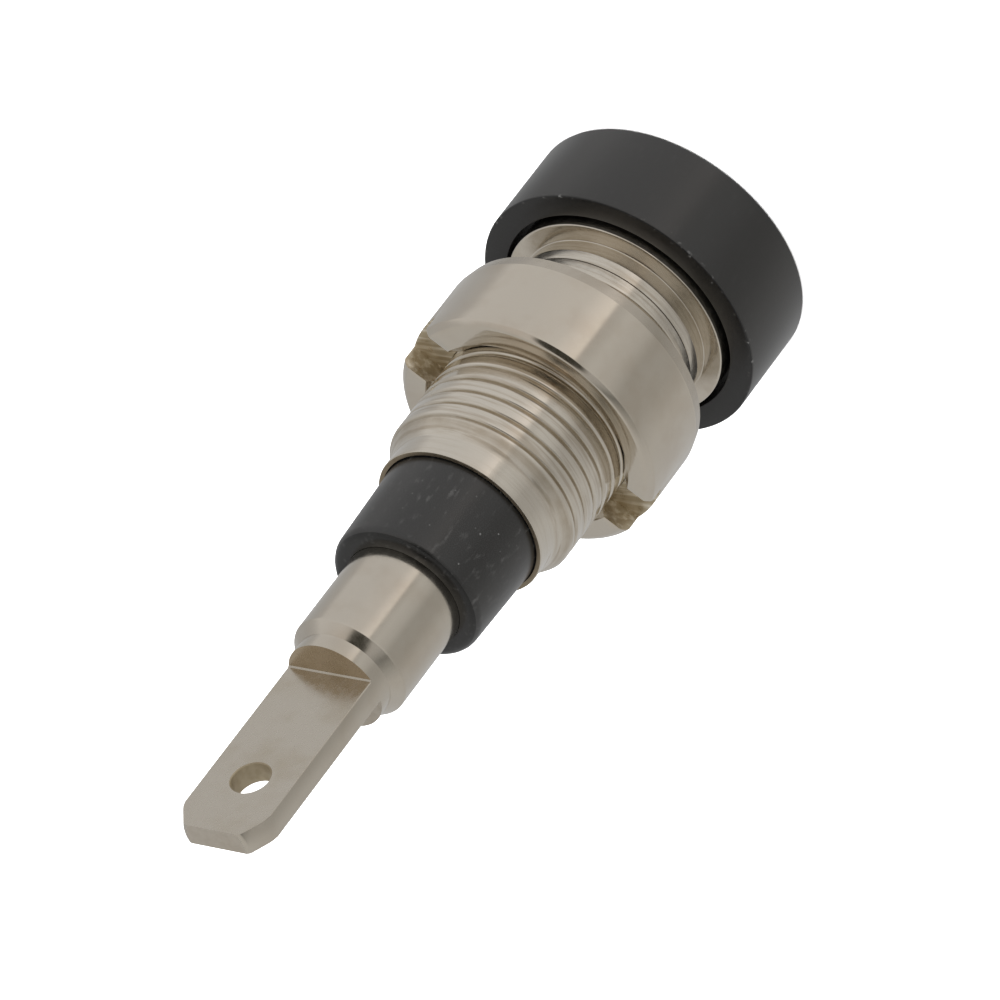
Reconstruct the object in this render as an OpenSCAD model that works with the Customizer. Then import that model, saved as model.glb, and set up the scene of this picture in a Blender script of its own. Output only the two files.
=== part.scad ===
// Panel socket for a small banana plug: a drilled contact with a flat soldering tab,
// an insulating body with a round head, a threaded bush over the body and a slotted ring nut.
// The seat of the panel is the plane z = 0, and the tab points up along +Z.

/* [Contact] */
// Diameter of the plug that the contact takes
plug_d = 2.0; // [1.5:0.1:4]
// Length of the straight bore, from the contact's front face
bore_len = 13; // [8:0.5:16]
// Wall of the contact around the bore
contact_wall = 0.76; // [0.5:0.01:1.5]
// Width of the countersink at the bore's mouth
mouth_bevel = 0.3; // [0.1:0.05:0.4]
// Width of the collar that stops the contact in the head
collar_w = 0.35; // [0.2:0.05:0.6]
// Thickness of that collar
collar_t = 0.8; // [0.4:0.1:1.4]
// Length of the shank that shows behind the insulating sleeve
shank_out = 2.94; // [1.5:0.02:6]
// Step from the shank down to the boss that carries the tab
boss_step = 0.29; // [0.1:0.01:0.5]
// Length of the bevel at that step
boss_bevel_len = 0.3; // [0.1:0.05:0.6]
// Length of the boss between its bevel and the tab's shoulder
boss_len = 0.47; // [0.2:0.01:2]

/* [Tab] */
// Length of the tab from its shoulder to its end
tab_len = 6.24; // [5:0.01:12]
// Thickness of the tab between its milled flats
tab_t = 0.7; // [0.5:0.01:1]
// Offset of the tab's middle plane from the contact's axis
tab_shift = 0.11; // [-0.15:0.01:0.15]
// Width of the bevel turned on the tab's end
tab_bevel = 0.44; // [0.1:0.02:0.7]
// Length of that bevel
tab_bevel_len = 0.71; // [0.2:0.01:1.2]
// Diameter of the wire hole in the tab
hole_d = 1.15; // [0.8:0.01:1.8]
// Distance from the hole's centre to the tab's end
hole_back = 2.06; // [1.6:0.01:3]

/* [Insulating body] */
// Wall of the insulating sleeve around the contact
sleeve_wall = 0.65; // [0.4:0.01:1.2]
// Length of the sleeve that shows behind the bush
sleeve_out = 3.04; // [1:0.02:8]
// Draft of that length, taken off the sleeve's radius
sleeve_draft = 0.1; // [0:0.01:0.12]
// Radius of the sleeve's rear edge
sleeve_edge = 0.28; // [0.05:0.01:0.3]
// Thickness of the head
head_h = 3.03; // [2.8:0.01:5]
// Rim of the head around the recess for the bush's flange
head_rim = 0.73; // [0.5:0.01:2]
// Radius of the head's front edge
front_edge = 0.1; // [0.05:0.01:0.4]
// Bevel of the head's rear edge
rear_edge = 0.06; // [0.03:0.01:0.2]
// Depth of the contact's collar below the head's front face
collar_sink = 0.2; // [0.1:0.05:0.5]
// Bevel around the mouth in the head's front face
front_bevel = 0.15; // [0.05:0.05:0.2]

/* [Threaded bush] */
// Wall of the plain end behind the thread
pilot_wall = 0.18; // [0.17:0.01:0.6]
// Length of the plain end
pilot_len = 0.7; // [0.4:0.05:2]
// Height of the thread above the plain end
thread_h = 0.35; // [0.3:0.01:0.6]
// Pitch of the thread
pitch = 0.515; // [0.45:0.005:0.8]
// Depth of the thread's grooves below its crests
groove_depth = 0.26; // [0.1:0.01:0.28]
// Length over which the thread runs out into the plain end
runout_len = 0.5; // [0.3:0.05:0.8]
// Length of the bush behind the panel seat
bush_len = 8.75; // [8:0.05:14]
// Width of the flange outside the thread
flange_w = 0.51; // [0.3:0.01:1.5]
// Thickness of the flange
flange_t = 1.0; // [0.6:0.05:1.4]
// Height of the flange above the head's rear face
flange_proud = 0.2; // [0.05:0.05:0.4]
// Gap around the flange in the head's recess
flange_gap = 0.16; // [0.1:0.01:0.4]
// Fillet between the flange and the thread
neck_fillet = 0.2; // [0.05:0.05:0.25]
// Bevel of the flange's rear edge and of the plain end's edge
bush_edge = 0.04; // [0.02:0.01:0.05]
// Width of the bevel inside the bush's rear mouth
mouth_relief = 0.05; // [0.02:0.01:0.06]
// Depth of that bevel
mouth_relief_len = 0.3; // [0.1:0.05:0.5]

/* [Ring nut] */
// Distance from the panel seat to the nut
nut_place = 2.05; // [1:0.05:4]
// Thickness of the nut
nut_t = 2.96; // [1.8:0.02:3.5]
// Wall of the nut outside its bore
nut_wall = 1.05; // [0.9:0.05:2]
// Width of the bevel on the nut's front edge
nut_front_bevel = 0.1; // [0.06:0.02:0.3]
// Length of the bevel on the nut's front edge
nut_front_bevel_len = 0.42; // [0.1:0.02:0.6]
// Width of the bevel on the nut's rear edge
nut_rear_bevel = 0.18; // [0.1:0.02:0.35]
// Length of the bevel on the nut's rear edge
nut_rear_bevel_len = 0.16; // [0.06:0.02:0.3]
// Bevel at both ends of the nut's bore
nut_bore_bevel = 0.14; // [0.08:0.02:0.3]
// Width of the spanner slot across the nut's rear face
slot_w = 1.76; // [1:0.02:2.5]
// Depth of the spanner slot
slot_depth = 0.7; // [0.4:0.05:1.2]
// Turn of the slot away from the tab's width
slot_turn = -43; // [-90:1:90]

/* [Fits] */
// Radial gap between pieces that are pressed together
press_gap = 0.02; // [0.01:0.01:0.04]
// Radial gap between the nut's bore and the thread
nut_gap = 0.05; // [0.02:0.01:0.1]

/* [Hidden] */
$fn = 96;
// Overlap that lets a cut pass clean through a face
cut = 0.5;
// Half angle of the drill's point, in degrees
drill_point = 59;
nickel = [0.71, 0.67, 0.61];
black = [0.13, 0.13, 0.13];

bore_r = plug_d / 2;
shank_r = bore_r + contact_wall;
collar_r = shank_r + collar_w;
boss_r = shank_r - boss_step;
sleeve_in_r = shank_r + press_gap;
sleeve_r = shank_r + sleeve_wall;
bush_in_r = sleeve_r + press_gap;
pilot_r = sleeve_r + pilot_wall;
thread_r = pilot_r + thread_h;
root_r = thread_r - groove_depth;
flange_r = thread_r + flange_w;
recess_r = flange_r + flange_gap;
head_r = recess_r + head_rim;
nut_in_r = thread_r + nut_gap;
nut_r = nut_in_r + nut_wall;

head_rear_z = -flange_proud;
head_front_z = head_rear_z - head_h;
recess_z = -flange_t;
collar_front_z = head_front_z + collar_sink;
collar_rear_z = collar_front_z + collar_t;
pilot_z = bush_len - pilot_len;
thread_end_z = pilot_z - runout_len;
turns = floor((thread_end_z - neck_fillet) / pitch);
sleeve_end_z = bush_len + sleeve_out;
shank_end_z = sleeve_end_z + shank_out;
boss_z = shank_end_z + boss_bevel_len;
shoulder_z = boss_z + boss_len;
tab_end_z = shoulder_z + tab_len;
hole_z = tab_end_z - hole_back;
nut_rear_z = nut_place + nut_t;

// Part of a square corner that lies outside a round edge; side is -1 below the edge and 1 above it
module edge_waste(r, z, edge, side) {
    difference() {
        translate([r - edge, side > 0 ? z - edge : z]) square(edge);
        translate([r - edge, z - side * edge]) circle(edge);
    }
}

// Corner that a small bevel cuts off an upper edge
module bevel_waste(r, z, bevel) {
    polygon([[r - bevel, z], [r, z], [r, z - bevel]]);
}

// Rectangle of a turned section, from one radius and height to another
module band(r0, z0, r1, z1) {
    translate([r0, z0]) square([r1 - r0, z1 - z0]);
}

module insulating_body() {
    mouth_r = collar_r + press_gap;
    tip_r = sleeve_r - sleeve_draft;
    color(black)
    rotate_extrude()
    difference() {
        union() {
            band(sleeve_in_r, head_front_z, head_r, head_rear_z);
            band(sleeve_in_r, head_rear_z, sleeve_r, bush_len);
            polygon([
                [sleeve_in_r, bush_len],
                [sleeve_r, bush_len],
                [tip_r, sleeve_end_z - sleeve_edge],
                [tip_r, sleeve_end_z],
                [sleeve_in_r, sleeve_end_z]
            ]);
        }
        edge_waste(head_r, head_front_z, front_edge, -1);
        bevel_waste(head_r, head_rear_z, rear_edge);
        edge_waste(tip_r, sleeve_end_z, sleeve_edge, 1);
        band(sleeve_r, recess_z, recess_r, head_rear_z + cut);
        band(0, head_front_z - cut, mouth_r, collar_rear_z);
        polygon([
            [mouth_r, head_front_z],
            [mouth_r + front_bevel, head_front_z],
            [mouth_r, head_front_z + front_bevel]
        ]);
    }
}

// Section of one groove of the thread, cut into the crests at a height
module groove(z) {
    mouth = 0.4 * pitch;
    polygon([
        [thread_r + cut, z - mouth],
        [thread_r, z - mouth],
        [root_r, z],
        [thread_r, z + mouth],
        [thread_r + cut, z + mouth]
    ]);
}

// The turns of the thread are closed rings, a pitch apart
module threaded_bush() {
    color(nickel)
    rotate_extrude()
    difference() {
        union() {
            band(bush_in_r, recess_z, flange_r, 0);
            band(bush_in_r, 0, thread_r, thread_end_z);
            polygon([
                [bush_in_r, thread_end_z],
                [thread_r, thread_end_z],
                [pilot_r, pilot_z],
                [bush_in_r, pilot_z]
            ]);
            band(bush_in_r, pilot_z, pilot_r, bush_len);
            difference() {
                band(thread_r, 0, thread_r + neck_fillet, neck_fillet);
                translate([thread_r + neck_fillet, neck_fillet]) circle(neck_fillet);
            }
        }
        for (turn = [0 : turns - 1])
            groove(neck_fillet + (turn + 0.5) * pitch);
        bevel_waste(flange_r, 0, bush_edge);
        bevel_waste(pilot_r, bush_len, bush_edge);
        polygon([
            [bush_in_r, bush_len - mouth_relief_len],
            [bush_in_r, bush_len],
            [bush_in_r + mouth_relief, bush_len]
        ]);
    }
}

module ring_nut() {
    color(nickel)
    difference() {
        rotate_extrude()
        polygon([
            [nut_in_r, nut_place + nut_bore_bevel],
            [nut_in_r + nut_bore_bevel, nut_place],
            [nut_r - nut_front_bevel, nut_place],
            [nut_r, nut_place + nut_front_bevel_len],
            [nut_r, nut_rear_z - nut_rear_bevel_len],
            [nut_r - nut_rear_bevel, nut_rear_z],
            [nut_in_r + nut_bore_bevel, nut_rear_z],
            [nut_in_r, nut_rear_z - nut_bore_bevel]
        ]);
        rotate([0, 0, slot_turn])
        translate([-nut_r - cut, -slot_w / 2, nut_rear_z - slot_depth])
        cube([2 * (nut_r + cut), slot_w, slot_depth + cut]);
    }
}

// Turned form of the contact, before its tab is milled and drilled
module turned_contact() {
    bore_end_z = collar_front_z + bore_len;
    rotate_extrude()
    difference() {
        polygon([
            [0, collar_front_z],
            [collar_r, collar_front_z],
            [collar_r, collar_rear_z],
            [shank_r, collar_rear_z],
            [shank_r, shank_end_z],
            [boss_r, boss_z],
            [boss_r, tab_end_z - tab_bevel_len],
            [boss_r - tab_bevel, tab_end_z],
            [0, tab_end_z]
        ]);
        polygon([
            [0, collar_front_z - cut],
            [bore_r + mouth_bevel + cut, collar_front_z - cut],
            [bore_r, collar_front_z + mouth_bevel],
            [bore_r, bore_end_z],
            [0, bore_end_z + bore_r / tan(drill_point)]
        ]);
    }
}

module socket_contact() {
    flat_len = tab_len + cut;
    color(nickel)
    difference() {
        turned_contact();
        for (side = [-1, 1])
            translate([-shank_r, tab_shift + side * tab_t / 2 - (side < 0 ? 2 * shank_r : 0), shoulder_z])
            cube([2 * shank_r, 2 * shank_r, flat_len]);
        translate([0, 0, hole_z])
        rotate([90, 0, 0])
        cylinder(h = 2 * shank_r, d = hole_d, center = true);
    }
}

insulating_body();
threaded_bush();
ring_nut();
socket_contact();
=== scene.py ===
"""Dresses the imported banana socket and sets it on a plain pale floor.

Sizes are in millimetres in the part's own frame: z = 0 is the panel seat, +Z points to the
soldering tab and X runs across the tab. Finished meshes are in metres.
"""

import logging
import math
from collections.abc import Callable, Iterable, Sequence
from dataclasses import dataclass
from enum import Enum, IntEnum

import bmesh
import bpy
from bmesh.types import BMEdge, BMesh, BMFace, BMVert
from bpy.types import Material, Node, NodeSocket, NodeTree, Object
from mathutils import Matrix, Vector


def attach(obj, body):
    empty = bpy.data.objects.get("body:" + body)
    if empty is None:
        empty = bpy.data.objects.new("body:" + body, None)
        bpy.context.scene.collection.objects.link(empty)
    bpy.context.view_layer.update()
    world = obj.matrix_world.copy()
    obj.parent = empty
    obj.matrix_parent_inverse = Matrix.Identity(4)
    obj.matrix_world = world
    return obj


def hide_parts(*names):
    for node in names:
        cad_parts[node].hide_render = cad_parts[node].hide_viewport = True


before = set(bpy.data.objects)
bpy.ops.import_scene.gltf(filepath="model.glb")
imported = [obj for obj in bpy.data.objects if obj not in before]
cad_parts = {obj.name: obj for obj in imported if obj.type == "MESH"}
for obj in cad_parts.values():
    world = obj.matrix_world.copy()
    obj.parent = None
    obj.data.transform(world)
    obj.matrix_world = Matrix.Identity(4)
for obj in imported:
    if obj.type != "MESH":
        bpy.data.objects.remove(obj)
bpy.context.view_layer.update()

log = logging.getLogger("banana_socket")

# WELD and CLOSE are tolerances in millimetres, SQUARE is the least cosine of a face square to an axis
MM = 0.001
WELD = 1e-4
CLOSE = 1e-3
SQUARE = 0.99
FULL_TURN = 2.0 * math.pi
PLAIN_DETAIL = 3.0
FINE_DETAIL = 4.0

Point = tuple[float, float]
Place = tuple[float, float, float]
Colour = tuple[float, float, float]
Inputs = dict[str | int, object]


class Body(Enum):
    """Rigid bodies of the part that the dressed pieces ride on."""

    SOCKET = "socket"
    NUT = "nut"


class MarkRun(Enum):
    """Ways in which tool marks run over a metal face."""

    TURNED = "rings round the axis"
    MILLED = "lines across the tab"
    SLOTTED = "lines along the spanner slot"
    WORN = "short streaks round the axis"


class NutFace(IntEnum):
    """Kinds of face on the nut, in the order of its materials."""

    PLATED = 0
    SLOT = 1
    WORN = 2


class ContactFace(IntEnum):
    """Kinds of face on the contact, in the order of its materials."""

    TURNED = 0
    MILLED = 1
    SHOULDER = 2
    CUT_END = 3
    DRILLED = 4


# Finishes


class NodeBench:
    """Lays out the shader nodes of one material or world."""

    def __init__(self, tree: NodeTree) -> None:
        """Empties a node tree and keeps it."""
        self.tree = tree
        tree.nodes.clear()

    def set(self, node: Node, inputs: Inputs) -> None:
        """Links inputs of a node to the outputs of others, or sets them.

        Args:
            node: The node.
            inputs: A socket, a number, a vector or a colour for each input, by name or number.
        """
        for key, value in inputs.items():
            target = node.inputs[key]
            if isinstance(value, NodeSocket):
                self.tree.links.new(value, target)
            elif target.type == "RGBA":
                target.default_value = (*value, 1.0)
            else:
                target.default_value = value

    def add(self, kind: str, inputs: Inputs | None = None, **settings: str) -> Node:
        """Adds a node.

        Args:
            kind: Blender's name of the node type.
            inputs: What its inputs get.
            settings: Properties of the node.

        Returns:
            The new node.
        """
        node = self.tree.nodes.new(kind)
        for name, value in settings.items():
            setattr(node, name, value)
        self.set(node, inputs or {})
        return node

    def calc(self, kind: str, first: object, second: object = 0.0) -> NodeSocket:
        """Works out a Math operation, such as MULTIPLY, of two numbers or sockets."""
        return self.add("ShaderNodeMath", {0: first, 1: second}, operation=kind).outputs[0]

    def spread(
        self, value: NodeSocket, low: float, high: float, start: float = 0.0, end: float = 1.0
    ) -> NodeSocket:
        """Maps a range of a value smoothly to another range, clamped.

        Args:
            value: The value.
            low: The value that gives start.
            high: The value that gives end.
            start: The result at low.
            end: The result at high.

        Returns:
            The result's socket.
        """
        node = self.add(
            "ShaderNodeMapRange",
            {"Value": value, "From Min": low, "From Max": high, "To Min": start, "To Max": end},
            interpolation_type="SMOOTHSTEP",
        )
        return node.outputs["Result"]

    def blend(self, share: NodeSocket, first: object, second: object) -> NodeSocket:
        """Mixes two colours or their sockets by the second one's share."""
        inputs = {"Factor": share, 6: first, 7: second}
        return self.add("ShaderNodeMix", inputs, data_type="RGBA").outputs[2]

    def ramp(self, value: NodeSocket, stops: Sequence[tuple[float, Colour]]) -> NodeSocket:
        """Adds a colour ramp.

        Args:
            value: The socket that the ramp reads.
            stops: Places from 0 to 1 with their colours.

        Returns:
            The colour's socket.
        """
        node = self.add("ShaderNodeValToRGB", {"Fac": value})
        elements = node.color_ramp.elements
        while len(elements) < len(stops):
            elements.new(1.0)
        for element, (place, colour) in zip(elements, stops):
            element.position = place
            element.color = (*colour, 1.0)
        return node.outputs["Color"]

    def noise(
        self, place: NodeSocket, scale: float, detail: float = PLAIN_DETAIL, rings: bool = False
    ) -> NodeSocket:
        """Adds a noise texture.

        Args:
            place: The place that it reads.
            scale: Its scale.
            detail: Its detail.
            rings: True where the place is one number, such as a radius.

        Returns:
            The value's socket.
        """
        node = self.add(
            "ShaderNodeTexNoise",
            {"W" if rings else "Vector": place, "Scale": scale, "Detail": detail},
            noise_dimensions="1D" if rings else "3D",
        )
        return node.outputs["Fac"]

    def bump(self, height: NodeSocket, strength: float, reach: float) -> NodeSocket:
        """Bends the normals by a height.

        Args:
            height: The height's socket.
            strength: Share of the bump.
            reach: Full depth of the bump, in millimetres.

        Returns:
            The normal's socket.
        """
        inputs = {"Height": height, "Strength": strength, "Distance": reach * MM}
        return self.add("ShaderNodeBump", inputs).outputs["Normal"]

    def along(self, way: NodeSocket, aim: Vector) -> NodeSocket:
        """Gives the cosine of the angle between a direction's socket and a fixed direction."""
        return self.add("ShaderNodeVectorMath", {0: way, 1: aim}, operation="DOT_PRODUCT").outputs["Value"]

    def millimetres(self, stretch: Place = (1.0, 1.0, 1.0), turn_deg: float = 0.0) -> NodeSocket:
        """Gives the place on a piece in millimetres.

        Args:
            stretch: Factors along X, Y and Z.
            turn_deg: Turn about Z, in degrees.

        Returns:
            The place's socket.
        """
        mapping = self.add(
            "ShaderNodeMapping",
            {
                "Vector": self.add("ShaderNodeTexCoord").outputs["Object"],
                "Rotation": (0.0, 0.0, math.radians(turn_deg)),
                "Scale": tuple(s / MM for s in stretch),
            },
        )
        return mapping.outputs["Vector"]

    def cylinder(self) -> tuple[NodeSocket, NodeSocket]:
        """Gives the distance from the Z axis and the height on a piece, in millimetres.

        Returns:
            The sockets of the radius and of the height.
        """
        split = self.add("ShaderNodeSeparateXYZ", {"Vector": self.millimetres()})
        flat = self.add("ShaderNodeCombineXYZ", {"X": split.outputs["X"], "Y": split.outputs["Y"]})
        radius = self.add("ShaderNodeVectorMath", {0: flat.outputs["Vector"]}, operation="LENGTH")
        return radius.outputs["Value"], split.outputs["Z"]


def new_material(name: str) -> tuple[Material, NodeBench, Node]:
    """Makes a material with one shader.

    Args:
        name: The material's name.

    Returns:
        The material, its node bench and its shader node.
    """
    material = bpy.data.materials.new(name)
    material.use_nodes = True
    bench = NodeBench(material.node_tree)
    shader = bench.add("ShaderNodeBsdfPrincipled")
    bench.add("ShaderNodeOutputMaterial", {"Surface": shader.outputs["BSDF"]})
    return material, bench, shader


@dataclass(frozen=True)
class Strokes:
    """Noise that draws straight tool marks: its stretch along X, Y and Z, scale and detail."""

    stretch: Place
    scale: float
    detail: float = PLAIN_DETAIL


STROKES: dict[MarkRun, Strokes] = {
    MarkRun.MILLED: Strokes((0.6, 0.6, 14.0), 2.0),
    MarkRun.SLOTTED: Strokes((0.35, 5.0, 5.0), 1.3),
    MarkRun.WORN: Strokes((0.5, 0.5, 8.0), 1.3, FINE_DETAIL),
}


@dataclass(frozen=True)
class ThreadGrimeAndShade:
    """Grime and painted shade on the bush: grime with painted shade in the grooves, painted shade round the
    foot of the neck and grime in the torn run-out.
    """

    groove_r: Point
    groove_z: Point = (7.6, 8.0)
    # Height and share of the painted shade round the foot of the neck
    foot_z: Point = (0.3, 0.55)
    foot_share: float = 0.25
    torn_z: float = 7.88
    torn_half: Point = (0.02, 0.1)
    torn_cut: Point = (0.38, 0.58)
    torn_least: float = 0.2
    uneven_scale: float = 2.2
    uneven_cut: Point = (0.3, 0.7)
    uneven_least: float = 0.6
    streak_z: Point = (7.9, 8.1)
    streak_least: float = 0.3
    # Brown used both for the grime and for the painted shade
    colour: Colour = (0.5, 0.44, 0.35)

    def share(self, bench: NodeBench, place: NodeSocket, marks: NodeSocket) -> NodeSocket:
        """Gives the share of grime and painted shade.

        Args:
            bench: The material's nodes.
            place: The place on the piece.
            marks: Height of the tool marks.

        Returns:
            The share's socket.
        """
        radius, height = bench.cylinder()
        # Grime with painted shade in the grooves, darker towards each root
        groove = bench.spread(radius, *self.groove_r, 1.0, 0.0)
        groove = bench.calc("MULTIPLY", groove, bench.spread(height, *self.groove_z, 1.0, 0.0))
        # Painted shade in the corner above the flange, strongest at the foot of the neck
        foot = bench.spread(height, *self.foot_z, self.foot_share, 0.0)
        aside = bench.calc("ABSOLUTE", bench.calc("SUBTRACT", height, self.torn_z))
        torn = bench.spread(marks, *self.torn_cut, self.torn_least, 1.0)
        torn = bench.calc("MULTIPLY", torn, bench.spread(aside, *self.torn_half, 1.0, 0.0))
        most = bench.calc("MAXIMUM", bench.calc("MAXIMUM", groove, foot), torn)
        patches = bench.noise(place, self.uneven_scale)
        uneven = bench.spread(patches, *self.uneven_cut, self.uneven_least, 1.0)
        return bench.calc("MULTIPLY", most, uneven)

    def streaks(self, bench: NodeBench) -> NodeSocket:
        """Gives the strength of the tarnish's streaks, which fade on the plain end."""
        _, height = bench.cylinder()
        return bench.spread(height, *self.streak_z, 1.0, self.streak_least)


@dataclass(frozen=True)
class NickelFinish:
    """Nickel plate on cut brass, with tool marks, a breath of tarnish and, on the bush, grime and painted
    shade.
    """

    name: str
    colour: Colour
    tarnish: Colour
    roughness: float
    marks: MarkRun = MarkRun.TURNED
    mark_strength: float = 0.12
    mark_reach: float = 0.004
    ring_scale: float = 17.0
    slot_turn_deg: float = 0.0
    grime_and_shade: ThreadGrimeAndShade | None = None
    cloud_scale: float = 0.9
    cloud_cut: Point = (0.4, 0.75)
    grain_scale: float = 5.0
    grain_cut: Point = (0.3, 0.7)
    grain_swing: Point = (0.85, 1.25)

    def _marks(self, bench: NodeBench) -> NodeSocket:
        """Gives the height of the tool marks.

        Args:
            bench: The material's nodes.

        Returns:
            The height's socket.
        """
        if self.marks is MarkRun.TURNED:
            return bench.noise(bench.calc("ADD", *bench.cylinder()), self.ring_scale, rings=True)
        strokes = STROKES[self.marks]
        place = bench.millimetres(strokes.stretch, -self.slot_turn_deg)
        return bench.noise(place, strokes.scale, strokes.detail)

    def _shade(self, bench: NodeBench, place: NodeSocket) -> NodeSocket:
        """Gives the colour: clouds or streaks of tarnish on the plate, and grime and painted shade over them.

        Args:
            bench: The material's nodes.
            place: The place on the piece.

        Returns:
            The colour's socket.
        """
        streaky = self.marks in (MarkRun.SLOTTED, MarkRun.WORN)
        pattern = self._marks(bench) if streaky else bench.noise(place, self.cloud_scale, FINE_DETAIL)
        cloud = bench.spread(pattern, *self.cloud_cut)
        if self.grime_and_shade is None:
            return bench.blend(cloud, self.colour, self.tarnish)
        cloud = bench.calc("MULTIPLY", cloud, self.grime_and_shade.streaks(bench))
        plate = bench.blend(cloud, self.colour, self.tarnish)
        # Grime and painted shade laid over the plate
        return bench.blend(self.grime_and_shade.share(bench, place, pattern), plate, self.grime_and_shade.colour)

    def build(self) -> Material:
        """Makes the material.

        Returns:
            The material.
        """
        material, bench, shader = new_material(self.name)
        place = bench.millimetres()
        grain = bench.noise(place, self.grain_scale, FINE_DETAIL)
        smooth, rough = (self.roughness * share for share in self.grain_swing)
        bench.set(
            shader,
            {
                "Base Color": self._shade(bench, place),
                "Metallic": 1.0,
                "Roughness": bench.spread(grain, *self.grain_cut, smooth, rough),
                "Normal": bench.bump(self._marks(bench), self.mark_strength, self.mark_reach),
            },
        )
        return material


@dataclass(frozen=True)
class PlasticFinish:
    """Black moulded plastic with a little dust, scuffs along the axis and a rubbed rear edge."""

    name: str
    specular: float
    sleeve_z: float
    rubbed_r: float
    rubbed_z: float
    colour: Colour = (0.0015, 0.0015, 0.0015)
    dust: Colour = (0.125, 0.123, 0.118)
    roughness: float = 0.28
    dusty_roughness: float = 0.7
    dusty_share: float = 0.4
    speck_share: Point = (0.12, 0.75)
    speck_scale: float = 3.2
    speck_size: float = 0.1
    speck_blur: float = 0.05
    speck_strength: float = 0.5
    nick_half: Point = (0.03, 0.16)
    nick_inset: Point = (0.2, 0.04)
    nick_scale: float = 5.0
    nick_cut: Point = (0.63, 0.74)
    nick_strength: float = 0.5
    scuff_stretch: Place = (4.0, 4.0, 1.6)
    scuff_scale: float = 1.5
    scuff_cut: Point = (0.56, 0.8)
    scuff_strength: float = 0.16
    scuff_head: float = 0.15
    grain_scale: float = 14.0
    grain_strength: float = 0.25
    grain_reach: float = 0.006

    def _specks(self, bench: NodeBench, place: NodeSocket, height: NodeSocket) -> NodeSocket:
        """Gives the share of dust in scattered specks, more of them on the sleeve.

        Args:
            bench: The material's nodes.
            place: The place on the piece.
            height: The height on the piece.

        Returns:
            The share's socket.
        """
        cells = bench.add("ShaderNodeTexVoronoi", {"Vector": place, "Scale": self.speck_scale}, feature="F1")
        split = bench.add("ShaderNodeSeparateColor", {"Color": cells.outputs["Color"]})
        share = bench.spread(height, 0.0, self.sleeve_z, *self.speck_share)
        chosen = bench.calc("LESS_THAN", split.outputs["Red"], share)
        size = bench.calc("MULTIPLY", split.outputs["Green"], self.speck_size)
        outside = bench.calc("SUBTRACT", cells.outputs["Distance"], size)
        near = bench.spread(outside, -self.speck_blur, self.speck_blur, self.speck_strength, 0.0)
        return bench.calc("MULTIPLY", chosen, near)

    def _rubbed(
        self, bench: NodeBench, place: NodeSocket, radius: NodeSocket, height: NodeSocket
    ) -> NodeSocket:
        """Gives the share of pale nicks along the head's rear edge.

        Args:
            bench: The material's nodes.
            place: The place on the piece.
            radius: The distance from the axis.
            height: The height on the piece.

        Returns:
            The share's socket.
        """
        aside = bench.calc("ABSOLUTE", bench.calc("SUBTRACT", height, self.rubbed_z))
        edge = bench.calc(
            "MULTIPLY",
            bench.spread(aside, *self.nick_half, 1.0, 0.0),
            bench.spread(radius, *(self.rubbed_r - inset for inset in self.nick_inset)),
        )
        nicks = bench.spread(bench.noise(place, self.nick_scale), *self.nick_cut, 0.0, self.nick_strength)
        return bench.calc("MULTIPLY", edge, nicks)

    def _scuffs(self, bench: NodeBench, height: NodeSocket) -> NodeSocket:
        """Gives the share of pale scuffs along the axis, most of them on the sleeve.

        Args:
            bench: The material's nodes.
            height: The height on the piece.

        Returns:
            The share's socket.
        """
        streaks = bench.noise(bench.millimetres(self.scuff_stretch), self.scuff_scale, FINE_DETAIL)
        return bench.calc(
            "MULTIPLY",
            bench.spread(streaks, *self.scuff_cut, 0.0, self.scuff_strength),
            bench.spread(height, 0.0, self.sleeve_z, self.scuff_head, 1.0),
        )

    def build(self) -> Material:
        """Makes the material.

        Returns:
            The material.
        """
        material, bench, shader = new_material(self.name)
        place = bench.millimetres()
        radius, height = bench.cylinder()
        dusty = bench.calc("MAXIMUM", self._specks(bench, place, height), self._scuffs(bench, height))
        dusty = bench.calc("MAXIMUM", dusty, self._rubbed(bench, place, radius, height))
        grain = bench.noise(place, self.grain_scale)
        bench.set(
            shader,
            {
                "Base Color": bench.blend(dusty, self.colour, self.dust),
                "Roughness": bench.spread(dusty, 0.0, self.dusty_share, self.roughness, self.dusty_roughness),
                "Specular IOR Level": self.specular,
                "Normal": bench.bump(grain, self.grain_strength, self.grain_reach),
            },
        )
        return material


@dataclass(frozen=True)
class FloorFinish:
    """Plain matt white of the floor."""

    name: str = "floor_white"
    colour: Colour = (0.9, 0.9, 0.9)
    roughness: float = 0.9
    specular: float = 0.1

    def build(self) -> Material:
        """Makes the material.

        Returns:
            The material.
        """
        material, bench, shader = new_material(self.name)
        look = {"Base Color": self.colour, "Roughness": self.roughness, "Specular IOR Level": self.specular}
        bench.set(shader, look)
        return material


# Bench work


def radius_of(vert: BMVert) -> float:
    """Gives a vertex's distance from the Z axis."""
    return math.hypot(vert.co.x, vert.co.y)


def once(parts: Iterable[BMVert | BMEdge | BMFace]) -> list[BMVert | BMEdge | BMFace]:
    """Lists parts of a mesh once each, in the same order in every run."""
    return list(dict.fromkeys(parts))


def arc(centre: Point, radius: float, start_deg: float, end_deg: float, steps: int = 3) -> list[Point]:
    """Gives points along a round stretch of a turned outline.

    Args:
        centre: Radius and height of the arc's centre.
        radius: The arc's radius.
        start_deg: Angle of the first point, from the outward direction, in degrees.
        end_deg: Angle of the last point, in degrees.
        steps: Number of steps.

    Returns:
        Radius and height of each point.
    """
    angles = [math.radians(start_deg + (end_deg - start_deg) * k / steps) for k in range(steps + 1)]
    return [(centre[0] + radius * math.cos(a), centre[1] + radius * math.sin(a)) for a in angles]


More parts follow.
